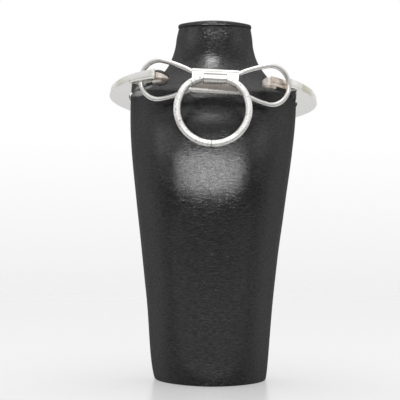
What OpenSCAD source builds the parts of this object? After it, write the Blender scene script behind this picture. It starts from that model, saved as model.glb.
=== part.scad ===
// Rigid choker with a hanging ring, on the neck bust that displays it.
// Origin: middle of the bust's foot. The front faces -Y, up is +Z. Millimetres.

/* [Collar] */
// Outer radius of the collar's wall
collar_r = 85.4; // [85.2:0.1:85.8]
// Width of the flat band, from the inner edge to the wall
band_w = 15.8; // [15.5:0.1:16]
// Height of the band round the back and the sides
band_h = 3.9; // [3:0.1:5]
// Extra height that the band would gain at the very front
band_rise = 4.9; // [3:0.1:6]
// Sideways place of the collar's centre
collar_x = -0.9; // [-1:0.1:0]
// Height of the collar's centre above the foot
collar_z = 232.2; // [230:0.1:236]
// Tilt of the collar, the back lower than the front
collar_tilt = 10; // [8:0.1:12]
// Sideways lean of the collar, its right side lower
collar_roll = 2; // [1:0.1:3]
// Thickness of the base plate under the wall
plate_t = 1.3; // [1:0.1:1.6]

/* [Forked ends] */
// Angle from the side to the end of the left wall
left_wall_a = 56.2; // [55:0.1:56.4]
// Angle from the side to the end of the right wall
right_wall_a = 45.2; // [44:0.1:46]
// Angle from the side to the end of the right bar
right_bar_a = 55.4; // [55:0.1:57]
// Thickness of the wall beside the slots
wall_t = 1.1; // [0.9:0.1:1.2]
// Outer radius of the left bar, inside the slot
left_bar_r = 77; // [76.5:0.1:77.2]
// Outer radius of the right bar, inside the slot
right_bar_r = 78.8; // [78.6:0.1:79]
// Angle from the side to the closed end of the slots outside the bars
slot_a = 38; // [36:0.1:39]

/* [Studs] */
// Radius of the left stud
left_stud_r = 6.9; // [6.6:0.1:7]
// Radius of the right stud
right_stud_r = 6; // [5.6:0.1:6.1]
// Height of the left stud above the band's bottom
left_stud_h = 8.8; // [8:0.1:9]
// Height of the right stud above the band's bottom
right_stud_h = 8.8; // [8:0.1:9]
// Depth of the left stud's foot below the band
left_foot = 3.2; // [2.8:0.1:3.4]
// Depth of the right stud's foot below the band
right_foot = 1.4; // [1:0.1:2]
// Gap left round a stud
stud_gap = 0.2; // [0.1:0.05:0.3]

/* [Bow wire] */
// Thickness of the bow's wire
wire_d = 3.9; // [3.6:0.1:4]
// Half the distance between the two strands in the sleeve
strand_v = 7; // [6.8:0.1:7.2]
// Radius of the round end of a loop
loop_r = 15.4; // [15.2:0.1:15.5]
// Distance along the bow from its middle to the centre of a loop's round end
loop_u = 46.8; // [46.6:0.1:46.9]
// Angle by which each half of the bow bends back round the neck
bow_bend = 23.6; // [23.4:0.1:23.8]
// Distance of the wire in front of the collar's centre
bow_y = 72; // [71.8:0.1:72.4]
// Height of the bow's middle above the foot
bow_z = 243.9; // [243.5:0.1:244.2]
// Sideways lean of the bow, its right side lower
bow_roll = 2.3; // [2:0.1:2.6]

/* [Front sleeve] */
// Width of the sleeve
sleeve_w = 36.6; // [34:0.1:37]
// Thickness of its sheet
sheet_t = 0.7; // [0.6:0.1:0.8]
// Length of the barrel soldered to its face
barrel_l = 18.2; // [16:0.1:18.4]
// Wall of the barrel
barrel_t = 0.5; // [0.5:0.05:0.6]
// Height of the barrel above the sleeve's middle
barrel_v = 2.2; // [1:0.1:2.6]

/* [Pendant ring] */
// Thickness of the ring's wire
ring_d = 5.7; // [5.2:0.1:5.8]
// Radius of the ring's centreline
ring_r = 27.8; // [27.7:0.1:27.9]
// Distance from the barrel's axis to the ring's centre
ring_drop = 24.6; // [24.5:0.1:24.7]
// Radius of the wide bends beside the straight top
ring_bend = 22; // [21.8:0.1:22.2]
// Lean of the ring against the chest, its foot forward
ring_lean = 13; // [12.8:0.1:14]
// Clearance round the ring's wire in the barrel
ring_gap = 0.6; // [0.6:0.05:0.7]
// Sideways slide of the ring in the barrel
ring_slide = -0.7; // [-0.8:0.1:0]

/* [Bust] */
// Height of the bust up to its cap
bust_h = 291.8; // [291:0.1:292]
// Radius of the cap on the neck
cap_r = 30.3; // [29.5:0.1:31]
// Height of the cap's rim
cap_rim = 3; // [2:0.1:4]
// Rise of the cap's dome above its rim
cap_dome = 3.6; // [2:0.1:5]
// Points round the bust's body
bust_points = 40; // [24:4:64]

/* [Hidden] */
$fn = 96;

silver = [0.82, 0.81, 0.79];
tarnished = [0.72, 0.66, 0.60];
leatherette = [0.09, 0.09, 0.09];

inner_r = collar_r - band_w;
wall_in = collar_r - wall_t;
lip_out = 0.35;
groove_d = 0.4;
groove_h = 0.3;
// The line along the outside of the right bar.
bar_line_z = 2.3;
bar_line_h = 0.4;
bar_line_d = 0.3;
// Height of the full ring from which the band is cut.
tall = 12;
cap_gap = 0.2;
wire_r = wire_d / 2;
wire_gap = 0.1;
ring_wire_r = ring_d / 2;
barrel_r = ring_wire_r + ring_gap + barrel_t;
sleeve_half = wire_r + wire_gap + sheet_t;
// The barrel's wall sinks into the sheet by this much, where it is soldered.
solder = 0.5;
barrel_y = sleeve_half + barrel_r - solder;
// Half length of the ring's straight top, so that bends and ring are tangent.
top_half = sqrt(pow(ring_r - ring_bend, 2) - pow(ring_drop - ring_bend, 2));
top_a = atan2(top_half, ring_drop - ring_bend);

// The studs: angle from the side, and radius from the collar's centre.
left_stud_a = 55.9;
left_stud_c = 76.3;
right_stud_a = 52.6;
right_stud_c = 72;
// Their shapes: rounding of the foot, radius of the dome and its place to the side.
left_edge = 4.4;
left_dome = 9.6;
left_aside = -1.6;
right_edge = 2.8;
right_dome = 10.5;
right_aside = 2;

// Height of the band's top at the distance y in front of the collar's centre.
function top_at(y) = band_h + band_rise * max(0, y) / collar_r;

// Sections of the bust's body, from the foot to the neck. Columns: height,
// half width, front, back, place of the widest point, roundness of the front
// half and of the back half, as powers of a superellipse, and sideways place.
bust_rows = [
  [0,     46.4, 36,   30,   12, 1.8,  3.2, -1],
  [7,     47.9, 37.6, 30.3, 12, 1.8,  3.2, -1.4],
  [24,    49.7, 42,   31,   12, 1.85, 3.2, -1.9],
  [66,    52.7, 54,   33,   11, 2,    3.2, -2.1],
  [108,   57.1, 68,   35,   10, 2.2,  3.2, -2.3],
  [150,   61.9, 82.6, 37,   9,  2.4,  3.2, -2],
  [178,   65.2, 85.6, 38,   8,  2.45, 3.2, -1.7],
  [194,   66.9, 85.2, 38,   7,  2.4,  3,   -1.5],
  [210,   68.1, 82,   37,   6,  2.3,  2.8, -1.1],
  [225,   68.6, 72.5, 36,   5,  2.2,  2.6, -0.8],
  [235.5, 68.4, 65.5, 36,   5,  2.1,  2.6, -0.8],
  [238.6, 67.9, 62.8, 36,   5,  2.1,  2.6, -1.1],
  [240.2, 65,   61,   35.8, 4.8, 2.1, 2.6, -2],
  [241.5, 61.6, 59.4, 35.4, 4.4, 2.1, 2.6, -2.5],
  [243,   58.5, 57.2, 34.6, 3.6, 2.1, 2.5, -2.6],
  [245.5, 52.4, 54,   34,   3,  2.05, 2.3, -1.6],
  [251,   46,   46.5, 32.5, 2,  2,    2.1, -0.6],
  [259,   39.2, 39.2, 31,   0,  2,    2,   -0.3],
  [267,   35,   34.2, 30.4, 0,  2,    2,   -0.4],
  [276,   32.3, 31.4, 30,   0,  2,    2,   -0.3],
  [284,   31.3, 30.3, 29.8, 0,  2,    2,   -0.2],
  [291.8, 29.8, 29.8, 29.8, 0,  2,    2,   0],
];
rows_h = bust_rows[len(bust_rows) - 1][0];

// A smooth curve through the rows.
function row_at(i) = bust_rows[max(0, min(len(bust_rows) - 1, i))];
function blend(a, b, c, d, t) =
  b + (c - a) * t / 2 + (a - 2.5 * b + 2 * c - d / 2) * t * t
  + (1.5 * (b - c) + (d - a) / 2) * t * t * t;
function bust_section(i, t) = [for (k = [0:7])
  blend(row_at(i - 1)[k], row_at(i)[k], row_at(i + 1)[k], row_at(i + 2)[k], t)];
function signed_pow(x, p) = sign(x) * pow(abs(x), p);
function bust_ring(s) = [for (j = [0:bust_points - 1])
  let (a = 360 * j / bust_points,
       back = sin(a) >= 0,
       p = 2 / (back ? s[6] : s[5]),
       deep = back ? s[3] - s[4] : s[2] + s[4])
  [s[7] + s[1] * signed_pow(cos(a), p), s[4] + deep * signed_pow(sin(a), p),
   s[0] * bust_h / rows_h]];

module bust_body() {
  steps = 2;
  rows = len(bust_rows) - 1;
  sections = [for (i = [0:rows - 1], k = [0:steps - 1]) bust_section(i, k / steps),
              bust_rows[rows]];
  m = bust_points;
  n = len(sections);
  points = [for (s = sections) each bust_ring(s)];
  sides = [for (i = [0:n - 2], j = [0:m - 1])
    let (a = i * m + j, b = i * m + (j + 1) % m)
    [a, a + m, b + m, b]];
  foot = [for (j = [0:m - 1]) j];
  top = [for (j = [0:m - 1]) n * m - 1 - j];
  color(leatherette) polyhedron(points, concat([foot, top], sides));
}

// Domed disc on the neck: a low cylinder under a flat dome.
module neck_cap() {
  dome_r = (cap_r * cap_r + cap_dome * cap_dome) / (2 * cap_dome);
  color(leatherette)
    translate([0, 0, bust_h + cap_gap])
      rotate_extrude()
        intersection() {
          square([cap_r, cap_rim + cap_dome]);
          translate([0, cap_rim + cap_dome - dome_r]) circle(r = dome_r, $fn = 720);
        }
}

// Puts a piece drawn in the collar's own plane where the collar hangs.
module in_collar() {
  translate([collar_x, 0, collar_z]) rotate([-collar_tilt, collar_roll, 0]) children();
}

// Full ring of the band: base plate with a lip, fine groove, and wall above.
module band_ring() {
  rotate_extrude()
    polygon([
      [inner_r, 0],
      [collar_r + lip_out, 0],
      [collar_r + lip_out, plate_t],
      [collar_r - groove_d, plate_t],
      [collar_r - groove_d, plate_t + groove_h],
      [collar_r, plate_t + groove_h],
      [collar_r, tall],
      [inner_r, tall],
    ]);
}

// Side view of the band's height, level at the back and rising to the front.
module height_wedge() {
  reach = collar_r + 5;
  rotate([90, 0, 90])
    linear_extrude(height = 2 * reach, center = true)
      polygon([[-reach, -1], [reach, -1], [reach, band_h], [0, band_h],
               [-reach, top_at(reach)]]);
}

// Part of the plan between two angles and two radii, right through the band.
module sector(a0, a1, r0, r1) {
  rotate([0, 0, a0])
    rotate_extrude(angle = a1 - a0)
      translate([r0, -1]) square([r1 - r0, tall + 2]);
}

// Hole through the band for a round stud.
module stud_hole(a, c, r) {
  translate(stud_place(a, c))
    translate([0, 0, -1]) cylinder(r = r + stud_gap, h = tall + 2);
}

function stud_place(a, r) = [r * cos(a), r * sin(a), 0];

module collar_band() {
  outside = collar_r + 4;
  cheek_in = right_stud_c + right_stud_r + stud_gap;
  color(silver)
    in_collar()
      difference() {
        intersection() {
          band_ring();
          height_wedge();
        }
        sector(180 + left_wall_a, 360 - right_bar_a, inner_r - 4, outside);
        sector(-right_bar_a - 1, -right_wall_a, wall_in - 1, outside);
        sector(-right_bar_a - 1, -right_stud_a, inner_r - 4, cheek_in);
        sector(180 + slot_a, 180 + left_wall_a + 1, left_bar_r, wall_in);
        sector(-right_bar_a - 1, -slot_a, right_bar_r, wall_in);
        stud_hole(180 + left_stud_a, left_stud_c, left_stud_r);
        stud_hole(-right_stud_a, right_stud_c, right_stud_r);
        translate([0, 0, bar_line_z])
          rotate([0, 0, -right_bar_a - 1])
            rotate_extrude(angle = right_bar_a - slot_a)
              translate([right_bar_r - bar_line_d, 0]) square([2 * bar_line_d, bar_line_h]);
      }
}

// Round post with a rounded foot. A sphere that stands aside rounds off its top.
module stud(r, h, foot, edge, dome, aside) {
  intersection() {
    rotate_extrude()
      difference() {
        union() {
          translate([0, -foot]) square([r - edge, edge + 1]);
          intersection() {
            translate([r - edge, edge - foot]) circle(r = edge, $fn = 48);
            translate([0, -foot]) square([r, edge]);
          }
          translate([0, edge - foot]) square([r, h - edge + foot]);
        }
        translate([-2 * r, -2 * r]) square([2 * r, 4 * r]);
      }
    translate([aside, 0, h - dome]) sphere(r = dome);
  }
}

module left_stud() {
  color(tarnished)
    in_collar()
      translate(stud_place(180 + left_stud_a, left_stud_c))
        stud(left_stud_r, left_stud_h, left_foot, left_edge, left_dome, left_aside);
}

module right_stud() {
  color(tarnished)
    in_collar()
      translate(stud_place(-right_stud_a, right_stud_c))
        stud(right_stud_r, right_stud_h, right_foot, right_edge, right_dome, right_aside);
}

// Puts a piece drawn round the bow's middle where the bow hangs.
module in_bow() {
  translate([0, -bow_y, bow_z]) rotate([0, bow_roll, 0]) children();
}

// One loop of the bow in its own plane, from the upper strand to the lower one:
// a curved flank, the round end, and the flank mirrored.
round_a = 100;
mouth_u = 18.6;
mouth_pull = [6, 2.9];
join_pull = 9;
flank_steps = 8;
round_steps = 20;
wire_sides = 12;
join = [loop_u + loop_r * cos(round_a), loop_r * sin(round_a)];
function bezier(a, b, c, d, t) =
  pow(1 - t, 3) * a + 3 * pow(1 - t, 2) * t * b + 3 * (1 - t) * t * t * c + t * t * t * d;
function flank(t) = bezier([mouth_u, strand_v], [mouth_u, strand_v] + mouth_pull,
                           join - join_pull * [sin(round_a), -cos(round_a)], join, t);
loop_uv = concat(
  [for (i = [0:flank_steps - 1]) flank(i / flank_steps)],
  [for (i = [0:round_steps])
    let (a = round_a * (1 - 2 * i / round_steps))
    [loop_u + loop_r * cos(a), loop_r * sin(a)]],
  [for (i = [flank_steps - 1:-1:0]) [flank(i / flank_steps)[0], -flank(i / flank_steps)[1]]]);

// The bow bends back from bend_u on, over a short curve.
bend_u = 19;
bend_len = 5;
function back_at(u) = tan(bow_bend)
  * (u < bend_u ? 0
    : u < bend_u + bend_len ? pow(u - bend_u, 2) / (2 * bend_len)
    : u - bend_u - bend_len / 2);
function along(u) = u < bend_u ? u : bend_u + (u - bend_u) * cos(bow_bend);
function right_point(p) = [along(p[0]), back_at(along(p[0])), p[1]];
function left_point(p) = [-along(p[0]), back_at(along(p[0])), p[1]];
// Points of the straight strands inside the sleeve.
strand_u = [-15, -6, 6, 15];
bow_path = concat(
  [for (u = strand_u) [u, 0, strand_v]],
  [for (p = loop_uv) right_point(p)],
  [for (u = strand_u) [-u, 0, -strand_v]],
  [for (i = [len(loop_uv) - 1:-1:0]) left_point(loop_uv[i])]);

function unit(v) = v / norm(v);

// Closed round tube along a path that never runs along Y.
module closed_tube(path, r, m) {
  n = len(path);
  points = [for (i = [0:n - 1])
    let (t = unit(path[(i + 1) % n] - path[(i + n - 1) % n]),
         a = unit([0, 1, 0] - t[1] * t),
         b = cross(t, a))
    each [for (j = [0:m - 1])
      path[i] + r * (a * cos(360 * j / m) + b * sin(360 * j / m))]];
  faces = [for (i = [0:n - 1], j = [0:m - 1])
    let (i1 = (i + 1) % n, j1 = (j + 1) % m)
    [i * m + j, i * m + j1, i1 * m + j1, i1 * m + j]];
  polyhedron(points, faces);
}

module bow_wire() {
  color(silver) in_bow() closed_tube(bow_path, wire_r, wire_sides);
}

// Stadium outline round the two strands, at a distance r from their centres.
module strand_outline(r) {
  for (s = [-1, 1]) translate([0, s * strand_v]) circle(r = r);
  translate([-r, -strand_v]) square([2 * r, 2 * strand_v]);
}

module front_sleeve() {
  barrel_at = [0, -barrel_y, barrel_v];
  color(silver)
    in_bow()
      difference() {
        union() {
          rotate([90, 0, 90])
            linear_extrude(height = sleeve_w, center = true)
              difference() {
                strand_outline(sleeve_half);
                strand_outline(sleeve_half - sheet_t);
              }
          translate(barrel_at)
            rotate([0, 90, 0]) cylinder(r = barrel_r, h = barrel_l, center = true);
        }
        translate(barrel_at)
          rotate([0, 90, 0])
            cylinder(r = ring_wire_r + ring_gap, h = barrel_l + 2, center = true);
      }
}

// The ring's centreline in its own plane: the straight top that turns in the
// barrel, two bends and the large arc, all tangent.
function arc_points(x, z, r, a0, a1, n) =
  [for (i = [0:n]) let (a = a0 + (a1 - a0) * i / n) [x + r * cos(a), 0, z + r * sin(a)]];
ring_steps = 50;
bend_steps = 12;
ring_sides = 18;
function bend_points(side) = [for (i = [0:bend_steps - 1])
  let (a = 90 - side * top_a * i / bend_steps)
  [side * top_half + ring_bend * cos(a), 0, ring_bend * (sin(a) - 1)]];
ring_path = concat(
  [for (k = [-0.75:0.25:0.75]) [k * top_half, 0, 0]],
  bend_points(1),
  arc_points(0, -ring_drop, ring_r, 90 - top_a, top_a - 270, ring_steps),
  [for (i = [bend_steps - 1:-1:0]) bend_points(-1)[i]]);

module pendant_ring() {
  color(silver)
    in_bow()
      translate([ring_slide, -barrel_y, barrel_v])
        rotate([-ring_lean, 0, 0]) closed_tube(ring_path, ring_wire_r, ring_sides);
}

bust_body();
neck_cap();
collar_band();
left_stud();
right_stud();
bow_wire();
front_sleeve();
pendant_ring();
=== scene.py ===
# Rigid silver choker with a hanging ring, on the black neck bust that shows it.
import math

import bmesh
import bpy
from mathutils import Matrix, Vector, noise


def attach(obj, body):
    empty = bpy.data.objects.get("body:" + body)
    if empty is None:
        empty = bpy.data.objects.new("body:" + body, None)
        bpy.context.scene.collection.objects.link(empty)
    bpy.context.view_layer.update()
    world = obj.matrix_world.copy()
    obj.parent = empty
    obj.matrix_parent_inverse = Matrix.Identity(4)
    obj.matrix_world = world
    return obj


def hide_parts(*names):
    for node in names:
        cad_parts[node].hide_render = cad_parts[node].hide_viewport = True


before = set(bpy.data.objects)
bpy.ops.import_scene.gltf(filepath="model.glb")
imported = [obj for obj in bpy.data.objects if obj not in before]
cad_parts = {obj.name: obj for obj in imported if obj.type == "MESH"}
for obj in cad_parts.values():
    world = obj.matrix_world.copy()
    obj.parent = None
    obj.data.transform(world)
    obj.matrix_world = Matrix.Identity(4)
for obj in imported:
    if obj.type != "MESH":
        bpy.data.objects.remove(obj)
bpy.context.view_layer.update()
scene = bpy.context.scene
mm = 0.001
print("frame loaded:", len(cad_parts), "nodes")


# Frames of the collar and the bow, as they hang on the bust.
hangSettings = {
    "collarAt": (-0.9, 0, 232.2), "collarTilt": 10, "collarLean": 2,
    "bowAt": (0, -72, 243.9), "bowLean": 2.3,
    "barrelOut": 6.2, "barrelUp": 2.2,      # from the bow's middle to the barrel's axis
    "ringLean": 13,                         # foot of the ring forward
}


def turn(degrees, axis):
    return Matrix.Rotation(math.radians(degrees), 4, axis)


def shift(place):
    return Matrix.Translation(Vector(place))


inCollar = (shift(hangSettings["collarAt"]) @ turn(hangSettings["collarLean"], "Y")
            @ turn(-hangSettings["collarTilt"], "X"))
inBow = shift(hangSettings["bowAt"]) @ turn(hangSettings["bowLean"], "Y")
inBarrel = inBow @ shift((0, -hangSettings["barrelOut"], hangSettings["barrelUp"]))
inRing = inBarrel @ turn(-hangSettings["ringLean"], "X")


# Mesh helpers. Points are in millimetres until addPiece, which writes metres.
meshSettings = {"samePlace": 1e-7, "noLength": 1e-8, "cornerReach": 0.45}


def addPiece(name, points, faces, place, material, sharp=None, rounded=False):
    work = bmesh.new()
    verts = [work.verts.new(mm * (place @ Vector(p))) for p in points]
    for face in faces:
        work.faces.new([verts[i] for i in face])
    bmesh.ops.remove_doubles(work, verts=work.verts, dist=meshSettings["samePlace"])
    bmesh.ops.dissolve_degenerate(work, edges=work.edges, dist=meshSettings["noLength"])
    bmesh.ops.recalc_face_normals(work, faces=work.faces)
    mesh = bpy.data.meshes.new(name)
    work.to_mesh(mesh)
    work.free()
    mesh.shade_smooth()
    if sharp:
        mesh.set_sharp_from_angle(angle=math.radians(sharp))
    mesh.materials.append(material)
    piece = bpy.data.objects.new(name, mesh)
    scene.collection.objects.link(piece)
    if rounded:                             # keeps flat faces flat beside small rounded edges
        weighted = piece.modifiers.new("flatFaces", "WEIGHTED_NORMAL")
        weighted.keep_sharp = True
    return piece


def gridFaces(rows, columns, wrapRows, wrapColumns):
    faces = []
    for i in range(rows if wrapRows else rows - 1):
        for j in range(columns if wrapColumns else columns - 1):
            nextI, nextJ = (i + 1) % rows, (j + 1) % columns
            faces.append((i * columns + j, nextI * columns + j,
                          nextI * columns + nextJ, i * columns + nextJ))
    return faces


def revolve(profile, sides, closed=False):  # profile of (radius, height) round the z axis
    points = []
    for i in range(sides):
        angle = 2 * math.pi * i / sides
        points += [(r * math.cos(angle), r * math.sin(angle), h) for r, h in profile]
    return points, gridFaces(sides, len(profile), True, closed)


def roundCorners(corners, radius, steps=4, closed=True):
    reach = meshSettings["cornerReach"]     # most of a side that one corner may take
    path = []
    count = len(corners)
    for i, corner in enumerate(corners):
        corner = Vector(corner)
        if not closed and i in (0, count - 1):
            path.append(corner)
            continue
        before, after = Vector(corners[i - 1]), Vector(corners[(i + 1) % count])
        cut = min(radius, reach * (before - corner).length, reach * (after - corner).length)
        start = corner + cut * (before - corner).normalized()
        end = corner + cut * (after - corner).normalized()
        for k in range(steps + 1):
            t = k / steps
            path.append((1 - t) ** 2 * start + 2 * t * (1 - t) * corner + t ** 2 * end)
    return path


def sweepTube(path, radius, sides):         # closed round tube; radius may vary along it
    points = []
    count = len(path)
    for i, middle in enumerate(path):
        middle = Vector(middle)
        along = (Vector(path[(i + 1) % count]) - Vector(path[i - 1])).normalized()
        across = (Vector((0, 1, 0)) - along.y * along).normalized()
        over = along.cross(across)
        r = radius(i, middle)
        for j in range(sides):
            angle = 2 * math.pi * j / sides
            points.append(middle + r * (across * math.cos(angle) + over * math.sin(angle)))
    return points, gridFaces(count, sides, True, True)


# Material helpers.
def newMaterial(name, **sockets):
    material = bpy.data.materials.new(name)
    material.use_nodes = True
    shader = material.node_tree.nodes["Principled BSDF"]
    for socket, value in sockets.items():
        shader.inputs[socket].default_value = value
    return material, material.node_tree, shader


def addNode(tree, kind, inputs=None, **settings):
    node = tree.nodes.new("ShaderNode" + kind)
    for key, value in settings.items():
        setattr(node, key, value)
    for key, value in (inputs or {}).items():
        if isinstance(value, bpy.types.NodeSocket):
            tree.links.new(value, node.inputs[key])
        else:
            node.inputs[key].default_value = value
    return node


def grainNoise(tree, stretch, scale, detail=4, roughness=0.5):
    place = addNode(tree, "TexCoord").outputs["Object"]
    stretched = addNode(tree, "Mapping", {"Vector": place, "Scale": stretch}).outputs["Vector"]
    inputs = {"Vector": stretched, "Scale": scale, "Detail": detail, "Roughness": roughness}
    return addNode(tree, "TexNoise", inputs).outputs["Fac"]


def remap(tree, value, low, high, newLow, newHigh):
    inputs = {"Value": value, "From Min": low, "From Max": high,
              "To Min": newLow, "To Max": newHigh}
    return addNode(tree, "MapRange", inputs).outputs["Result"]


def mixColours(tree, amount, first, second):
    mix = addNode(tree, "Mix", data_type="RGBA")
    tree.links.new(amount, mix.inputs["Factor"])
    for socket, value in ((mix.inputs[6], first), (mix.inputs[7], second)):
        if isinstance(value, bpy.types.NodeSocket):
            tree.links.new(value, socket)
        else:
            socket.default_value = value
    return mix.outputs[2]


def arithmetic(tree, operation, first, second):
    node = addNode(tree, "Math", {0: first, 1: second}, operation=operation)
    return node.outputs[0]


def squared(tree, value):
    return arithmetic(tree, "MULTIPLY", value, value)


def addBump(tree, height, distance, strength, normal=None):
    inputs = {"Height": height, "Distance": distance, "Strength": strength}
    if normal:
        inputs["Normal"] = normal
    return addNode(tree, "Bump", inputs).outputs["Normal"]


# Place on a piece in millimetres, along the axes of its own frame.
def localPlace(tree, place):
    fromCentre = addNode(tree, "VectorMath", {
        0: addNode(tree, "TexCoord").outputs["Object"], 1: mm * place.translation},
        operation="SUBTRACT").outputs["Vector"]
    return [arithmetic(tree, "DIVIDE", addNode(
        tree, "VectorMath", {0: fromCentre, 1: place.to_3x3() @ Vector(axis)},
        operation="DOT_PRODUCT").outputs["Value"], mm)
        for axis in ((1, 0, 0), (0, 1, 0), (0, 0, 1))]


def between(tree, value, low, high, soft, strength=1.0):
    rise = remap(tree, value, low - soft, low + soft, 0, 1)
    fall = remap(tree, value, high - soft, high + soft, 1, 0)
    return arithmetic(tree, "MULTIPLY", arithmetic(tree, "MULTIPLY", rise, fall), strength)


# Black leatherette: fine grain that runs round the bust, over slow unevenness. Its gloss
# breaks up with the grain, and it is duller where it is seen edge-on. A bump is its depth
# in metres and its strength.
leatherSettings = {
    "colour": (0.0020, 0.0020, 0.0022, 1), "wornColour": (0.0062, 0.0060, 0.0058, 1),
    "wornRange": (0.45, 0.75),
    "roughness": (0.16, 0.28), "roughRange": (0.35, 0.65), "slowShare": 0.3,
    "grazing": (0.25, 0.75), "grazingMatt": 0.5,
    "evenGloss": 0.18, "gloss": (0.10, 0.26), "glossRange": (0.38, 0.62), "glossScale": 700,
    "grainScale": 540, "grainStretch": (0.45, 0.45, 2.3), "grainBump": (0.00027, 0.8),
    "poreScale": 1500, "poreBump": (0.00005, 0.6),
    "waveScale": 30, "waveBump": (0.0005, 0.5),
    # Painted sheen on the shoulder folds, a light patch where light from above would catch them,
    # as seen from the front: middle, half length, half height, slope and strength.
    "paintedFoldSheen": (0.16, 0.16, 0.16, 1), "paintedSheenSoft": (1.2, 0.1), "paintedSheenFront": (12, 2),
    "folds": [((-61.5, 236.6), 7.5, 2.6, 0, 0.6), ((-53.5, 241.4), 3.6, 1.3, 0.3, 0.3),
              ((62.6, 237.4), 3.4, 1.2, -0.3, 0.6)],
}


def makeLeatherette(s):
    material, tree, shader = newMaterial("blackLeatherette",
                                         **{"Specular IOR Level": s["evenGloss"]})
    grain = grainNoise(tree, s["grainStretch"], s["grainScale"], detail=3, roughness=0.6)
    pores = grainNoise(tree, s["grainStretch"], s["poreScale"], detail=2)
    slow = grainNoise(tree, (1, 1, 1), s["waveScale"], detail=2)
    worn = remap(tree, grain, *s["wornRange"], 0, 1)
    colour = mixColours(tree, worn, s["colour"], s["wornColour"])
    x, y, z = localPlace(tree, Matrix.Identity(4))
    # Painted sheen: a light patch on each shoulder fold, where light from above would catch it.
    for (foldX, foldZ), length, height, slope, strength in s["folds"]:
        along = arithmetic(tree, "SUBTRACT", x, foldX)
        over = arithmetic(tree, "SUBTRACT", arithmetic(tree, "SUBTRACT", z, foldZ),
                          arithmetic(tree, "MULTIPLY", along, slope))
        away = arithmetic(tree, "ADD",
                          squared(tree, arithmetic(tree, "DIVIDE", along, length)),
                          squared(tree, arithmetic(tree, "DIVIDE", over, height)))
        paintedSheenMask = arithmetic(tree, "MULTIPLY", remap(tree, away, *s["paintedSheenSoft"], 0, strength),
                           remap(tree, y, *s["paintedSheenFront"], 0, 1))
        colour = mixColours(tree, paintedSheenMask, colour, s["paintedFoldSheen"])
    tree.links.new(colour, shader.inputs["Base Color"])
    mixed = arithmetic(tree, "ADD", arithmetic(tree, "MULTIPLY", slow, s["slowShare"]),
                       arithmetic(tree, "MULTIPLY", grain, 1 - s["slowShare"]))
    grazing = addNode(tree, "LayerWeight", {"Blend": 0.5}).outputs["Facing"]
    matt = remap(tree, grazing, *s["grazing"], 0, s["grazingMatt"])
    rough = arithmetic(tree, "ADD",
                       remap(tree, mixed, *s["roughRange"], *s["roughness"]), matt)
    tree.links.new(rough, shader.inputs["Roughness"])
    glossy = grainNoise(tree, s["grainStretch"], s["glossScale"], detail=4, roughness=0.75)
    tree.links.new(remap(tree, glossy, *s["glossRange"], *s["gloss"]),
                   shader.inputs["Specular IOR Level"])
    normal = addBump(tree, slow, *s["waveBump"])
    normal = addBump(tree, grain, *s["grainBump"], normal)
    normal = addBump(tree, pores, *s["poreBump"], normal)
    tree.links.new(normal, shader.inputs["Normal"])
    return material


# Worn silver: satin ground, dull patches, pits and fine scratches.
wireSilverSettings = {
    "metallic": 1.0,
    "colour": (0.82, 0.81, 0.79, 1), "dullColour": (0.66, 0.64, 0.60, 1),
    "pitColour": (0.20, 0.18, 0.16, 1), "roughness": (0.15, 0.32),
    "roughRange": (0.35, 0.65), "scratchShare": 0.5,
    "dullScale": 140, "dullRange": (0.50, 0.72),
    "pitScale": 900, "pitRange": (0.70, 0.76), "pitStrength": 0.85, "pitBump": (0.0001, 0.6),
    "scratchScale": 260, "scratchStretch": (1, 1, 9), "scratchBump": (0.00004, 0.7),
}
ringSilverSettings = dict(wireSilverSettings, colour=(0.96, 0.95, 0.93, 1),
                          dullColour=(0.78, 0.76, 0.72, 1),
                          pitColour=(0.16, 0.15, 0.14, 1), pitRange=(0.58, 0.66),
                          pitScale=800, roughness=(0.24, 0.44),
                          scratchBump=(0.00008, 0.7))
sleeveSilverSettings = dict(wireSilverSettings, colour=(0.60, 0.59, 0.56, 1),
                            roughness=(0.20, 0.32), pitRange=(0.74, 0.80))


def makeSilver(name, s, marks=None):        # marks builds pairs of a mask and its tint
    material, tree, shader = newMaterial(name, Metallic=s["metallic"])
    slow = grainNoise(tree, (1, 1, 1), s["dullScale"], detail=4)
    pits = grainNoise(tree, (1, 1, 1), s["pitScale"], detail=3, roughness=0.6)
    scratches = grainNoise(tree, s["scratchStretch"], s["scratchScale"], detail=5, roughness=0.7)
    dull = remap(tree, slow, *s["dullRange"], 0, 1)
    pitted = remap(tree, pits, *s["pitRange"], 0, s["pitStrength"])
    colour = mixColours(tree, dull, s["colour"], s["dullColour"])
    for mask, tint in (marks(tree) if marks else []):
        colour = mixColours(tree, mask, colour, tint)
    tree.links.new(mixColours(tree, pitted, colour, s["pitColour"]),
                   shader.inputs["Base Color"])
    mixed = arithmetic(tree, "ADD", arithmetic(tree, "MULTIPLY", slow, 1 - s["scratchShare"]),
                       arithmetic(tree, "MULTIPLY", scratches, s["scratchShare"]))
    tree.links.new(remap(tree, mixed, *s["roughRange"], *s["roughness"]),
                   shader.inputs["Roughness"])
    normal = addBump(tree, scratches, *s["scratchBump"])
    normal = addBump(tree, arithmetic(tree, "MULTIPLY", pitted, -1), *s["pitBump"], normal)
    tree.links.new(normal, shader.inputs["Normal"])
    return material
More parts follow.
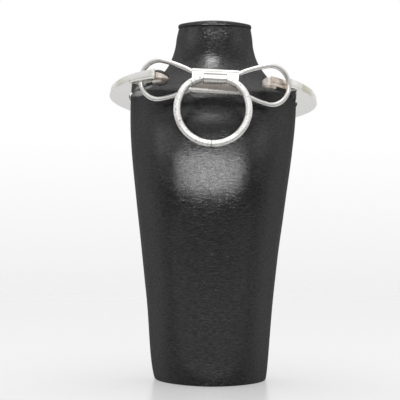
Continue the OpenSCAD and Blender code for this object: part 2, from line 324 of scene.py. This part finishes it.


# The band: satin wall with tarnish in patches, a painted highlight in one small bright patch
# on the right wall, polished underside. A patch stands at an angle and a radius of the collar,
# with its size in millimetres, its strength and tint.
bandSettings = {
    "colour": (0.86, 0.85, 0.82, 1), "tarnish": (0.60, 0.55, 0.42, 1),
    "underside": (0.95, 0.94, 0.92, 1), "undersideFacing": (0.75, 0.9),
    "wallRoughness": (0.30, 0.46), "undersideRoughness": (0.06, 0.16), "roughRange": (0.3, 0.7),
    "tarnishScale": 140, "tarnishRange": (0.56, 0.72),
    "patches": [
        (207, 85.4, 11, 0.5, (0.60, 0.57, 0.44, 1)), (-28, 85.4, 13, 0.7, (0.58, 0.55, 0.40, 1)),
        # The last patch is a painted highlight on the right wall, beside the wire.
        (-53, 80, 15, 1.0, (0.72, 0.60, 0.51, 1)), (-42, 86, 6, 1.0, (0.95, 0.94, 0.90, 1)),
    ],
    "patchUp": 4, "patchCore": 0.55,        # centre above the band's bottom, and solid share
    "patchSpots": (0.35, 0.55), "patchLeast": 0.45,
    "brushScale": 300, "brushStretch": (1, 1, 7), "brushBump": (0.00005, 0.5),
    "waveScale": 28, "waveBump": (0.0008, 0.25),
}


def patchMask(tree, s, place, spots, angle, radius, size, strength):
    a = math.radians(angle)
    centre = mm * (inCollar @ Vector((radius * math.cos(a), radius * math.sin(a), s["patchUp"])))
    away = addNode(tree, "VectorMath", {0: place, 1: centre},
                   operation="DISTANCE").outputs["Value"]
    near = remap(tree, away, mm * size, s["patchCore"] * mm * size, 0, strength)
    spotted = remap(tree, spots, *s["patchSpots"], s["patchLeast"], 1)
    return arithmetic(tree, "MULTIPLY", near, spotted)


def makeBandSilver(s):
    material, tree, shader = newMaterial("bandSilver", Metallic=1.0)
    down = inCollar.to_3x3() @ Vector((0, 0, -1))
    facing = addNode(tree, "VectorMath", {0: addNode(tree, "NewGeometry").outputs["Normal"],
                                          1: down}, operation="DOT_PRODUCT").outputs["Value"]
    under = remap(tree, facing, *s["undersideFacing"], 0, 1)
    spots = grainNoise(tree, (1, 1, 1), s["tarnishScale"], detail=5, roughness=0.6)
    brushed = grainNoise(tree, s["brushStretch"], s["brushScale"], detail=4, roughness=0.6)
    tarnished = remap(tree, spots, *s["tarnishRange"], 0, 1)
    wall = mixColours(tree, tarnished, s["colour"], s["tarnish"])
    place = addNode(tree, "TexCoord").outputs["Object"]
    for angle, radius, size, strength, tint in s["patches"]:
        mask = patchMask(tree, s, place, spots, angle, radius, size, strength)
        wall = mixColours(tree, mask, wall, tint)
    tree.links.new(mixColours(tree, under, wall, s["underside"]), shader.inputs["Base Color"])
    wallRough = remap(tree, brushed, *s["roughRange"], *s["wallRoughness"])
    underRough = remap(tree, spots, *s["roughRange"], *s["undersideRoughness"])
    rough = addNode(tree, "Mix", {0: under, 2: wallRough, 3: underRough}).outputs[0]
    tree.links.new(rough, shader.inputs["Roughness"])
    slow = grainNoise(tree, (1, 1, 1), s["waveScale"], detail=2)
    normal = addBump(tree, slow, *s["waveBump"])
    normal = addBump(tree, brushed, *s["brushBump"], normal)
    tree.links.new(normal, shader.inputs["Normal"])
    return material


# Painted light on the front sleeve: painted shadow below the barrel, a painted highlight
# along the lower edge, and painted shade on the barrel's top by the sheet, in two bands lower
# round it and at its ends. The face and the barrel have tints of their own. A band is its low
# and high end, softness and strength: on the face in millimetres above its middle, on the
# barrel in degrees up from its front.
sleeveTintsAndPaintedLight = {
    "paintedShade": (0.22, 0.19, 0.17, 1), "paintedShadowBand": (-6.6, -1.6, 0.5, 0.9),
    "paintedHighlight": (0.99, 0.96, 0.92, 1), "paintedHighlightBand": (-10, -6.6, 0.5),
    "faceTint": (0.74, 0.73, 0.71, 1), "faceBand": (-1.6, 12, 0.3),
    "barrelTint": (0.98, 0.97, 0.94, 1), "barrelFrom": (-3.15, -3.35),
    "lowShadeBand": (-24, -5, 6, 0.1), "footShadeBand": (-130, -68, 5, 0.7),
    "paintedShadeTint": (0.26, 0.25, 0.24, 1), "topShadeBand": (34, 130, 4),
    "barrelEnds": (8.6, 8.8), "endShadeStrength": 0.6,
    "wobble": 1.2, "wobbleScale": 260, "slope": 0.05,
}


def sleeveMarks(tree):
    s = sleeveTintsAndPaintedLight
    x, y, z = localPlace(tree, inBow)
    uneven = grainNoise(tree, (1, 1, 1), s["wobbleScale"], detail=3)
    wobble = arithmetic(tree, "MULTIPLY", arithmetic(tree, "SUBTRACT", uneven, 0.5), s["wobble"])
    edge = arithmetic(tree, "ADD", arithmetic(tree, "ADD", z, wobble),
                      arithmetic(tree, "MULTIPLY", x, s["slope"]))
    out = arithmetic(tree, "SUBTRACT", -hangSettings["barrelOut"], y)
    up = arithmetic(tree, "SUBTRACT", z, hangSettings["barrelUp"])
    angle = arithmetic(tree, "DEGREES", arithmetic(tree, "ARCTAN2", up, out), 0)
    onBarrel = remap(tree, y, *s["barrelFrom"], 0, 1)
    onFace = arithmetic(tree, "SUBTRACT", 1, onBarrel)
    # Painted shade at the barrel's two ends.
    ends = remap(tree, arithmetic(tree, "ABSOLUTE", x, 0), *s["barrelEnds"],
                 0, s["endShadeStrength"])

    def on(part, mask):
        return arithmetic(tree, "MULTIPLY", part, mask)

    # Face tint, painted shadow, painted highlight, barrel tint, then painted shade bands on the
    # barrel.
    return [
        (on(onFace, between(tree, z, *s["faceBand"])), s["faceTint"]),
        (on(onFace, between(tree, edge, *s["paintedShadowBand"])), s["paintedShade"]),
        (on(onFace, between(tree, edge, *s["paintedHighlightBand"])), s["paintedHighlight"]),
        (onBarrel, s["barrelTint"]),
        (on(onBarrel, between(tree, angle, *s["topShadeBand"])), s["paintedShadeTint"]),
        (on(onBarrel, between(tree, angle, *s["lowShadeBand"])), s["paintedShade"]),
        (on(onBarrel, between(tree, angle, *s["footShadeBand"])), s["paintedShade"]),
        (on(onBarrel, ends), s["paintedShadeTint"]),
    ]


# The hanging ring: straight top in the barrel, two bends, and a butt seam at its foot.
ringSettings = {
    "wire": 5.7, "radius": 27.8, "drop": 24.6, "bend": 22, "slide": -0.7,
    "topSteps": 8, "bendSteps": 30, "arcSteps": 300, "sides": 40,
    "handWork": 0.008, "handScale": 0.3,
}

# The seam is dark, and black specks lie beside the barrel. Places in millimetres from the
# middle of the ring's top; a strip is its low and high end and its softness.
ringWear = {
    "dark": (0.08, 0.075, 0.07, 1), "strength": 0.8,
    "seamAcross": (-0.28, 0.28, 0.12), "seamUp": (-40, -42),
    "speckAcross": (-20, -6, 3), "speckUp": (-16, -8),
    "speckScale": 520, "speckRange": (0.56, 0.62),
}


def ringMarks(tree):
    s = ringWear
    x, _, z = localPlace(tree, inRing @ shift((ringSettings["slide"], 0, 0)))
    seam = arithmetic(tree, "MULTIPLY", remap(tree, z, *s["seamUp"], 0, s["strength"]),
                      between(tree, x, *s["seamAcross"]))
    speckled = grainNoise(tree, (1, 1, 1), s["speckScale"], detail=3, roughness=0.7)
    specks = remap(tree, speckled, *s["speckRange"], 0, s["strength"])
    beside = arithmetic(tree, "MULTIPLY", between(tree, x, *s["speckAcross"]),
                        remap(tree, z, *s["speckUp"], 0, 1))
    return [(seam, s["dark"]), (arithmetic(tree, "MULTIPLY", specks, beside), s["dark"])]


# The studs are a warmer, duller metal. The left one has painted shade along its top, and a
# painted dark reflection at its foot with a painted highlight stripe across it. A band is its
# low and high end, softness and strength: up in millimetres above the band's bottom, across
# from the stud's axis, deep below its dome.
studMetalSettings = dict(wireSilverSettings, colour=(0.80, 0.73, 0.66, 1), metallic=0.5,
                         dullColour=(0.52, 0.46, 0.41, 1), roughness=(0.22, 0.40))
leftStudPaintedLight = {
    "dark": (0.05, 0.04, 0.035, 1), "topDeep": (-1, 0.55, 0.12),
    "paintedShade": (0.17, 0.145, 0.125, 1), "footUp": (-9, 1.2, 0.5, 0.9),
    "glossy": (0.99, 0.95, 0.90, 1), "stripeAcross": (-6.5, 1, 0.8),
    "stripeUp": (-1.9, -0.5, 0.4, 0.8),
}

# Round posts in the collar's two ends. A sphere that stands aside rounds off the top.
studSettings = {
    "leftStud": {"node": "left_stud", "angle": 180 + 55.9, "out": 76.3, "radius": 6.9,
                 "height": 8.8, "foot": 3.2, "footEdge": 4.4, "dome": 9.6, "aside": -1.6},
    "rightStud": {"node": "right_stud", "angle": -52.6, "out": 72, "radius": 6,
                  "height": 8.8, "foot": 1.4, "footEdge": 2.8, "dome": 10.5, "aside": 2},
}


def studFrame(s):
    angle = math.radians(s["angle"])
    return inCollar @ shift((s["out"] * math.cos(angle), s["out"] * math.sin(angle), 0))


def domeCentre(s):
    return Vector((s["aside"], 0, s["height"] - s["dome"]))


def leftStudMarks(tree):
    s = studSettings["leftStud"]
    place = studFrame(s)
    x, _, z = localPlace(tree, place)
    fromDome = addNode(tree, "VectorMath", {
        0: addNode(tree, "TexCoord").outputs["Object"], 1: mm * (place @ domeCentre(s))},
        operation="DISTANCE").outputs["Value"]
    depth = arithmetic(tree, "SUBTRACT", s["dome"], arithmetic(tree, "DIVIDE", fromDome, mm))
    stripe = arithmetic(tree, "MULTIPLY", between(tree, x, *leftStudPaintedLight["stripeAcross"]),
                        between(tree, z, *leftStudPaintedLight["stripeUp"]))
    # Painted dark reflection at the foot, painted highlight stripe, painted shade along the top.
    return [(between(tree, z, *leftStudPaintedLight["footUp"]), leftStudPaintedLight["paintedShade"]),
            (stripe, leftStudPaintedLight["glossy"]),
            (between(tree, depth, *leftStudPaintedLight["topDeep"]), leftStudPaintedLight["dark"])]


leatherette = makeLeatherette(leatherSettings)
wireSilver = makeSilver("wireSilver", wireSilverSettings)
ringSilver = makeSilver("ringSilver", ringSilverSettings, ringMarks)
sleeveSilver = makeSilver("sleeveSilver", sleeveSilverSettings, sleeveMarks)
leftStudMetal = makeSilver("leftStudMetal", studMetalSettings, leftStudMarks)
rightStudMetal = makeSilver("rightStudMetal", studMetalSettings)
bandSilver = makeBandSilver(bandSettings)
print("materials made")


# The bust: one leatherette skin, wide at the shoulders. Rows as in the CAD source:
# height, half width, front, back, widest place, roundness of front and back, sideways.
bustSettings = {
    "rows": [
        (0, 46.4, 36, 30, 12, 1.8, 3.2, -1), (7, 47.9, 37.6, 30.3, 12, 1.8, 3.2, -1.4),
        (24, 49.7, 42, 31, 12, 1.85, 3.2, -1.9), (66, 52.7, 54, 33, 11, 2, 3.2, -2.1),
        (108, 57.1, 68, 35, 10, 2.2, 3.2, -2.3), (150, 61.9, 82.6, 37, 9, 2.4, 3.2, -2),
        (178, 65.2, 85.6, 38, 8, 2.45, 3.2, -1.7), (194, 66.9, 85.2, 38, 7, 2.4, 3, -1.5),
        (210, 68.1, 82, 37, 6, 2.3, 2.8, -1.1), (225, 68.6, 72.5, 36, 5, 2.2, 2.6, -0.8),
        (235.5, 68.4, 65.5, 36, 5, 2.1, 2.6, -0.8), (238.6, 67.9, 62.8, 36, 5, 2.1, 2.6, -1.1),
        (240.2, 65, 61, 35.8, 4.8, 2.1, 2.6, -2), (241.5, 61.6, 59.4, 35.4, 4.4, 2.1, 2.6, -2.5),
        (243, 58.5, 57.2, 34.6, 3.6, 2.1, 2.5, -2.6),
        (245.5, 52.4, 54, 34, 3, 2.05, 2.3, -1.6), (251, 46, 46.5, 32.5, 2, 2, 2.1, -0.6),
        (259, 39.2, 39.2, 31, 0, 2, 2, -0.3),
        (267, 35, 34.2, 30.4, 0, 2, 2, -0.4), (276, 32.3, 31.4, 30, 0, 2, 2, -0.3),
        (284, 31.3, 30.3, 29.8, 0, 2, 2, -0.2), (291.8, 29.8, 29.8, 29.8, 0, 2, 2, 0),
    ],
    "around": 144, "rowSteps": 5, "fineSteps": 20, "fineBetween": (224, 242),
    # Creases and the rolls over them at the shoulders, as seen from the front: two ends,
    # half width and outward.
    "folds": [((-69, 238.4), (-62, 233.8), 0.8, -1.1), ((-65, 239.5), (-58, 236.6), 1.6, 0.5),
              ((67.6, 236.6), (63.5, 234.8), 0.7, -1.0), ((64, 238), (60, 237), 1.2, 0.3)],
    "foldsBefore": 25,                      # none on the back
    # The skin turns under the foot: inset and rise of each turn, as shares of its round.
    "footRound": 1.2, "footTurns": ((1, 0), (0.6, 0.08), (0.2, 0.4)),
    "unevenness": 0.25, "unevenScale": 0.03, "unevenFrom": 5,
    "sharperThan": 50,
}


def catmullRom(a, b, c, d, t):
    return (b + (c - a) * t / 2 + (a - 2.5 * b + 2 * c - d / 2) * t ** 2
            + (1.5 * (b - c) + (d - a) / 2) * t ** 3)


def signedPower(x, power):
    return math.copysign(abs(x) ** power, x)


def bustSection(rows, i, t):
    near = [rows[max(0, min(len(rows) - 1, k))] for k in (i - 1, i, i + 1, i + 2)]
    return [catmullRom(*values, t) for values in zip(*near)]


def bustRing(section, around, inset=0.0, rise=0.0):
    height, wide, front, back, widest, frontRound, backRound, sideways = section
    ring = []
    for j in range(around):
        angle = 2 * math.pi * j / around
        behind = math.sin(angle) >= 0
        power = 2 / (backRound if behind else frontRound)
        deep = (back - widest if behind else front + widest) - inset
        ring.append(Vector((sideways + (wide - inset) * signedPower(math.cos(angle), power),
                            widest + deep * signedPower(math.sin(angle), power),
                            height + rise)))
    return ring


def foldDepth(point, start, end, half, outward):
    start, end, place = Vector(start), Vector(end), Vector((point.x, point.z))
    part = (place - start).dot(end - start) / (end - start).length_squared
    away = (place - start - min(1, max(0, part)) * (end - start)).length
    return outward * math.exp(-(away / half) ** 2)


def makeBust(s):
    rows, around = s["rows"], s["around"]
    low, high = s["fineBetween"]
    sections = []
    for i, row in enumerate(rows[:-1]):
        steps = s["fineSteps"] if low < row[0] < high else s["rowSteps"]
        sections += [bustSection(rows, i, k / steps) for k in range(steps)]
    sections.append(rows[-1])
    rings = [bustRing(section, around) for section in sections]
    for ring in rings[1:-1]:
        for j, point in enumerate(ring):
            outward = Vector((point.x, point.y - s["unevenFrom"], 0)).normalized()
            uneven = noise.noise(point * s["unevenScale"]) * s["unevenness"]
            if point.y < s["foldsBefore"]:
                uneven += sum(foldDepth(point, *fold) for fold in s["folds"])
            ring[j] = point + outward * uneven
    foot = s["footRound"]
    rings[0] = [p + Vector((0, 0, foot)) for p in rings[0]]
    under = [bustRing(rows[0], around, inset * foot, rise * foot)
             for inset, rise in s["footTurns"]]
    rings = under + rings
    points = [p for ring in rings for p in ring]
    faces = gridFaces(len(rings), around, False, True)
    for ring in (0, len(rings) - 1):        # flat ends
        faces.append(tuple(range(ring * around, (ring + 1) * around)))
    return addPiece("bustSkin", points, faces, Matrix.Identity(4), leatherette,
                    sharp=s["sharperThan"])


bust = makeBust(bustSettings)
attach(bust, "stand")
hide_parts("bust_body")

# The cap: a low dome on a thin rim.
capSettings = {"radius": 30.3, "rim": 3, "dome": 3.6, "seat": 292.0, "edge": 1.1,
               "domeSteps": 12, "sides": 96}


def makeCap(s):
    corners = [(0, 0), (s["radius"], 0), (s["radius"], s["rim"])]
    domeRadius = (s["radius"] ** 2 + s["dome"] ** 2) / (2 * s["dome"])
    lowest = s["rim"] + s["dome"] - domeRadius
    for k in range(1, s["domeSteps"] + 1):
        r = s["radius"] * (1 - k / s["domeSteps"])
        corners.append((r, lowest + math.sqrt(domeRadius ** 2 - r ** 2)))
    profile = roundCorners(corners, s["edge"], closed=False)
    points, faces = revolve(profile, s["sides"])
    return addPiece("neckCap", points, faces, shift((0, 0, s["seat"])), leatherette)


cap = makeCap(capSettings)
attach(cap, "stand")
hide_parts("neck_cap")
print("bust and cap made")


# The collar band keeps its CAD shape, with its edges eased.
bandEdgeSettings = {"weld": 0.002, "easing": 0.18, "easingSteps": 2, "sharperThan": 35}


def dressBand(band, s):
    weld = band.modifiers.new("weld", "WELD")
    weld.merge_threshold = s["weld"] * mm
    bevel = band.modifiers.new("easedEdges", "BEVEL")
    bevel.width = s["easing"] * mm
    bevel.segments = s["easingSteps"]
    bevel.limit_method = "ANGLE"
    bevel.angle_limit = math.radians(s["sharperThan"])
    bevel.harden_normals = True
    band.data.materials.clear()
    band.data.materials.append(bandSilver)


dressBand(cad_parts["collar_band"], bandEdgeSettings)

# Steps along a stud's profile and round it; an edge past the angle stays sharp.
studMeshSettings = {"edgeSteps": 12, "wallSteps": 24, "topSteps": 12, "sides": 72,
                    "sharperThan": 60}


def makeStud(name, s, mesh, material):
    r, foot, edge = s["radius"], s["foot"], s["footEdge"]
    profile = [(0, -foot)]
    steps = mesh["edgeSteps"]
    for k in range(steps + 1):
        a = math.radians(-90 + 90 * k / steps)
        profile.append((r - edge + edge * math.cos(a), edge - foot + edge * math.sin(a)))
    wall = profile[-1][1]
    steps = mesh["wallSteps"]
    profile += [(r, wall + (s["height"] - wall) * k / steps) for k in range(1, steps + 1)]
    steps = mesh["topSteps"]
    profile += [(r * (1 - k / steps), s["height"]) for k in range(1, steps + 1)]
    points, faces = revolve(profile, mesh["sides"])
    centre = domeCentre(s)
    lowered = []
    for x, y, z in points:
        away = math.hypot(x - centre.x, y - centre.y)
        top = centre.z + math.sqrt(s["dome"] ** 2 - away ** 2)
        lowered.append((x, y, min(z, top)))
    stud = addPiece(name, lowered, faces, studFrame(s), material, sharp=mesh["sharperThan"])
    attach(stud, "stand")
    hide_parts(s["node"])


makeStud("leftStud", studSettings["leftStud"], studMeshSettings, leftStudMetal)
makeStud("rightStud", studSettings["rightStud"], studMeshSettings, rightStudMetal)
print("collar and studs made")


# The bow: one closed wire with a loop round each end of the collar.
bowSettings = {
    "wire": 3.9, "strand": 7, "loopRadius": 15.4, "loopOut": 46.8, "loopTurn": 100,
    "mouth": 18.6, "mouthPull": (6, 2.9), "joinPull": 9,
    "straight": 18, "straightSteps": 24,    # half of each strand that stays straight
    "bend": 23.6, "bendFrom": 19, "bendLength": 5,
    "flankSteps": 24, "roundSteps": 72, "sides": 28, "handWork": 0.006, "handScale": 0.25,
}


def bezier(a, b, c, d, t):
    return (1 - t) ** 3 * a + 3 * (1 - t) ** 2 * t * b + 3 * (1 - t) * t ** 2 * c + t ** 3 * d


def loopOutline(s):
    turned = math.radians(s["loopTurn"])
    mouth = Vector((s["mouth"], s["strand"]))
    join = Vector((s["loopOut"] + s["loopRadius"] * math.cos(turned),
                   s["loopRadius"] * math.sin(turned)))
    pull = s["joinPull"] * Vector((math.sin(turned), -math.cos(turned)))
    flank = [bezier(mouth, mouth + Vector(s["mouthPull"]), join - pull, join,
                    i / s["flankSteps"]) for i in range(s["flankSteps"])]
    outline = list(flank)
    for i in range(s["roundSteps"] + 1):
        a = turned * (1 - 2 * i / s["roundSteps"])
        outline.append(Vector((s["loopOut"] + s["loopRadius"] * math.cos(a),
                               s["loopRadius"] * math.sin(a))))
    return outline + [Vector((p.x, -p.y)) for p in reversed(flank)]


def bowPath(s):
    start, length = s["bendFrom"], s["bendLength"]
    slope = math.tan(math.radians(s["bend"]))

    def place(u, v, side):
        across = u if u < start else start + (u - start) * math.cos(math.radians(s["bend"]))
        past = across - start
        back = 0 if past < 0 else past ** 2 / (2 * length) if past < length else past - length / 2
        return Vector((side * across, slope * back, v))

    loop = loopOutline(s)
    half, steps = s["straight"], s["straightSteps"]
    straight = [-half + 2 * half * k / steps for k in range(steps + 1)]
    path = [Vector((u, 0, s["strand"])) for u in straight]
    path += [place(p.x, p.y, 1) for p in loop]
    path += [Vector((-u, 0, -s["strand"])) for u in straight]
    path += [place(p.x, p.y, -1) for p in reversed(loop)]
    return path


def makeBow(s):
    def radius(i, point):                   # slight unevenness of a hand-drawn wire
        return s["wire"] / 2 * (1 - s["handWork"] * (1 + noise.noise(point * s["handScale"])))

    points, faces = sweepTube(bowPath(s), radius, s["sides"])
    bow = addPiece("bowWire", points, faces, inBow, wireSilver)
    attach(bow, "stand")
    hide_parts("bow_wire")


makeBow(bowSettings)

# Front sleeve: a sheet folded round the two strands, with a barrel soldered on.
sleeveSettings = {
    "width": 36.6, "sheet": 0.7, "half": 2.75, "strand": 7, "edge": 0.22, "bulge": 0.3,
    "barrelLength": 18.2, "barrelOuter": 3.95, "barrelBore": 3.45, "barrelEdge": 0.2,
    "foldSteps": 20, "flatSteps": 14, "barrelSides": 72,
}


def stadium(s):                             # (centre, outward) pairs round the two strands
    line = []
    for side in (1, -1):
        for k in range(s["foldSteps"] + 1):
            a = math.radians(90 - 90 * side + 180 * k / s["foldSteps"])
            line.append((Vector((0, 0, side * s["strand"])),
                         Vector((0, -math.cos(a), math.sin(a)))))
        for k in range(1, s["flatSteps"]):
            part = 1 - 2 * k / s["flatSteps"]
            proud = s["bulge"] * (1 - part ** 2)
            line.append((Vector((0, side * proud, side * s["strand"] * part)),
                         Vector((0, side, 0))))
    return line


def makeSleeve(s):
    half, inner = s["half"], s["half"] - s["sheet"]
    end = s["width"] / 2
    profile = roundCorners([(-end, inner), (end, inner), (end, half), (-end, half)], s["edge"])
    line = stadium(s)
    points = [centre + out * offset + Vector((x, 0, 0))
              for centre, out in line for x, offset in profile]
    faces = gridFaces(len(line), len(profile), True, True)
    reach = s["barrelLength"] / 2
    tube = roundCorners([(s["barrelBore"], -reach), (s["barrelOuter"], -reach),
                         (s["barrelOuter"], reach), (s["barrelBore"], reach)], s["barrelEdge"])
    tubePoints, tubeFaces = revolve(tube, s["barrelSides"], closed=True)
    place = inBow.inverted() @ inBarrel @ turn(90, "Y")
    first = len(points)
    points += [place @ Vector(p) for p in tubePoints]
    faces += [tuple(first + i for i in face) for face in tubeFaces]
    sleeve = addPiece("frontSleeve", points, faces, inBow, sleeveSilver, rounded=True)
    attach(sleeve, "stand")
    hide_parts("front_sleeve")


makeSleeve(sleeveSettings)


# The ring's own dictionary stands with its seam, above.
def ringPath(s):
    r, bend, drop = s["radius"], s["bend"], s["drop"]
    topHalf = math.sqrt((r - bend) ** 2 - (drop - bend) ** 2)
    topAngle = math.degrees(math.atan2(topHalf, drop - bend))

    def onArc(x, z, radius, degrees):
        a = math.radians(degrees)
        return Vector((x + radius * math.cos(a), 0, z + radius * math.sin(a)))

    steps = s["bendSteps"]
    path = [Vector((topHalf * (2 * k / s["topSteps"] - 1), 0, 0))
            for k in range(1, s["topSteps"])]
    path += [onArc(topHalf, -bend, bend, 90 - topAngle * k / steps) for k in range(steps)]
    path += [onArc(0, -drop, r, 90 - topAngle + (2 * topAngle - 360) * k / s["arcSteps"])
             for k in range(s["arcSteps"] + 1)]
    path += [onArc(-topHalf, -bend, bend, 90 + topAngle * k / steps)
             for k in range(steps - 1, -1, -1)]
    return path


def makeRing(s):
    def radius(i, point):
        return s["wire"] / 2 * (1 - s["handWork"] * (1 + noise.noise(point * s["handScale"])))

    points, faces = sweepTube(ringPath(s), radius, s["sides"])
    ring = addPiece("pendantRing", points, faces, inRing @ shift((s["slide"], 0, 0)), ringSilver)
    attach(ring, "ring")
    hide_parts("pendant_ring")


makeRing(ringSettings)
print("bow, sleeve and ring made")


# Plain pale floor that fades into the white surround, soon in front of the bust.
floorSettings = {
    "centre": (0, 0.75, 0), "radius": 1.6, "sides": 96,
    "fadeFrom": 0.87, "fadeTo": 1.02,       # distance from the centre
    "farFrom": 0.1, "farTo": 1.3,           # distance behind the bust
    "colour": (0.45, 0.45, 0.448, 1), "speckle": (0.7, 0.7, 0.7, 1),
    "speckleScale": 60, "speckleRange": (0.3, 0.7), "speckleShare": 0.04,
    "roughness": 0.28, "gloss": 0.1,
    "glow": (0.295, 0.295, 0.295, 1),       # lifts it to the tone of the surround
}


def makeFloor(s):
    material, tree, shader = newMaterial("paleFloor", **{
        "Roughness": s["roughness"], "Specular IOR Level": s["gloss"],
        "Emission Color": s["glow"], "Emission Strength": 1})
    speckled = grainNoise(tree, (1, 1, 1), s["speckleScale"], detail=3)
    tint = remap(tree, speckled, *s["speckleRange"], 0, s["speckleShare"])
    tree.links.new(mixColours(tree, tint, s["colour"], s["speckle"]),
                   shader.inputs["Base Color"])
    place = addNode(tree, "TexCoord").outputs["Object"]
    out = addNode(tree, "VectorMath", {0: place, 1: s["centre"]},
                  operation="DISTANCE").outputs["Value"]
    far = remap(tree, addNode(tree, "SeparateXYZ", {0: place}).outputs["Y"],
                s["farFrom"], s["farTo"], 0, 1)
    faded = arithmetic(tree, "MAXIMUM", far,
                       remap(tree, out, s["fadeFrom"], s["fadeTo"], 0, 1))
    clear = addNode(tree, "BsdfTransparent")
    mix = addNode(tree, "MixShader", {0: faded, 1: shader.outputs[0], 2: clear.outputs[0]})
    tree.links.new(mix.outputs[0], tree.nodes["Material Output"].inputs["Surface"])
    work = bmesh.new()
    bmesh.ops.create_circle(work, cap_ends=True, segments=s["sides"], radius=s["radius"],
                            matrix=shift(s["centre"]))
    mesh = bpy.data.meshes.new("floor")
    work.to_mesh(mesh)
    work.free()
    mesh.materials.append(material)
    floor = bpy.data.objects.new("floor", mesh)
    scene.collection.objects.link(floor)


makeFloor(floorSettings)

# White surround. What lights the object is darker at the left, right, front and below: a
# row is the axis, where along it the tone starts and stops to change, and the last tone.
surroundSettings = {
    "horizon": 0.9, "above": 1.1, "highFrom": 0.5, "highTo": 0.8,
    "sides": [("X", -0.3, -0.9, 0.9), ("X", 0.3, 0.9, 0.95), ("Y", -0.1, -0.8, 0.8),
              ("Z", 0.0, -0.25, 0.45)],
    # What the camera sees of it is greyer towards the floor.
    "shownFrom": -0.107, "shownTo": 0.026, "shownLow": 0.83, "shownTop": 1.0,
}


def makeSurround(s):
    world = bpy.data.worlds.new("surround")
    scene.world = world
    world.use_nodes = True
    tree = world.node_tree
    background = tree.nodes["Background"]
    background.inputs["Color"].default_value = (1, 1, 1, 1)
    direction = addNode(tree, "TexCoord").outputs["Generated"]
    axes = addNode(tree, "SeparateXYZ", {0: direction}).outputs
    strength = s["horizon"]
    for axis, start, stop, lastTone in s["sides"]:
        tone = remap(tree, axes[axis], start, stop, 1, lastTone)
        strength = arithmetic(tree, "MULTIPLY", tone, strength)
    high = remap(tree, axes["Z"], s["highFrom"], s["highTo"], 0, 1)
    strength = addNode(tree, "Mix", {0: high, 2: strength, 3: s["above"]}).outputs[0]
    shown = remap(tree, axes["Z"], s["shownFrom"], s["shownTo"], s["shownLow"], s["shownTop"])
    direct = addNode(tree, "LightPath").outputs["Is Camera Ray"]
    tone = addNode(tree, "Mix", {0: direct, 2: strength, 3: shown}).outputs[0]
    tree.links.new(tone, background.inputs["Strength"])


makeSurround(surroundSettings)

# Soft boxes. The sheens and the patch on the neck reach the bust alone, because its
# leatherette is far darker than the silver beside it.
lightSettings = {
    "overhead": {"at": (0, -0.1, 1.2), "aim": (0, -0.1, 0), "size": (0.9, 0.9), "watts": 3},
    "front": {"at": (0.05, -1.7, 0.58), "aim": (0, 0, 0.25), "size": (1.2, 0.45), "watts": 3.2},
    "neckSheen": {"at": (-0.03, -0.2, 1.2), "aim": (-0.03, -0.2, 0), "size": (0.45, 0.8),
                  "watts": 29, "bustOnly": True},
    "neckPatch": {"at": (-0.017, -0.096, 0.42), "aim": (-0.010, -0.04, 0.262),
                  "size": (0.075, 0.055), "watts": 0.42, "bustOnly": True},
    "chestSheen": {"at": (-0.13, -1.7, 0.03), "aim": (-0.05, 0, 0.18), "size": (3.8, 0.17),
                   "watts": 152, "bustOnly": True},
    "leftSheen": {"at": (-1.5, -0.5, 0.55), "aim": (0, 0, 0.2), "size": (1.4, 0.9),
                  "watts": 8, "bustOnly": True},
    "rightSheen": {"at": (1.5, -0.5, 0.55), "aim": (0, 0, 0.2), "size": (1.4, 0.9),
                   "watts": 5.5, "bustOnly": True},
    "footSheen": {"at": (0, -0.12, 0.005), "aim": (0, -0.119, 0.3), "size": (0.5, 0.16),
                  "watts": 0.15, "bustOnly": True},
}


def addLight(name, s, bustPieces):
    light = bpy.data.lights.new(name, "AREA")
    light.shape = "ELLIPSE" if s.get("bustOnly") else "RECTANGLE"
    light.size, light.size_y = s["size"]
    light.energy = s["watts"]
    lamp = bpy.data.objects.new(name, light)
    lamp.location = s["at"]
    lamp.visible_camera = False
    aim = Vector(s["aim"]) - Vector(s["at"])
    lamp.rotation_euler = aim.to_track_quat("-Z", "Y").to_euler()
    scene.collection.objects.link(lamp)
    if s.get("bustOnly"):
        lamp.light_linking.receiver_collection = bustPieces


bustPieces = bpy.data.collections.new("bustPieces")
for piece in (bust, cap):
    bustPieces.objects.link(piece)
for lightName, settings in lightSettings.items():
    addLight(lightName, settings, bustPieces)

# The camera stands where the photographer stood. Angles in degrees.
cameraSettings = {"at": (-0.011, -1.245, 0.167), "lens": 135, "sensor": 36,
                  "downBy": 0.764, "roll": 0.5}


def makeCamera(s):
    data = bpy.data.cameras.new("photoView")
    data.lens = s["lens"]
    data.sensor_width = s["sensor"]
    camera = bpy.data.objects.new("photoView", data)
    camera.matrix_world = shift(s["at"]) @ turn(90 - s["downBy"], "X") @ turn(s["roll"], "Z")
    scene.collection.objects.link(camera)
    scene.camera = camera


makeCamera(cameraSettings)
scene.view_settings.view_transform = "Standard"
print("floor, lights and camera set")
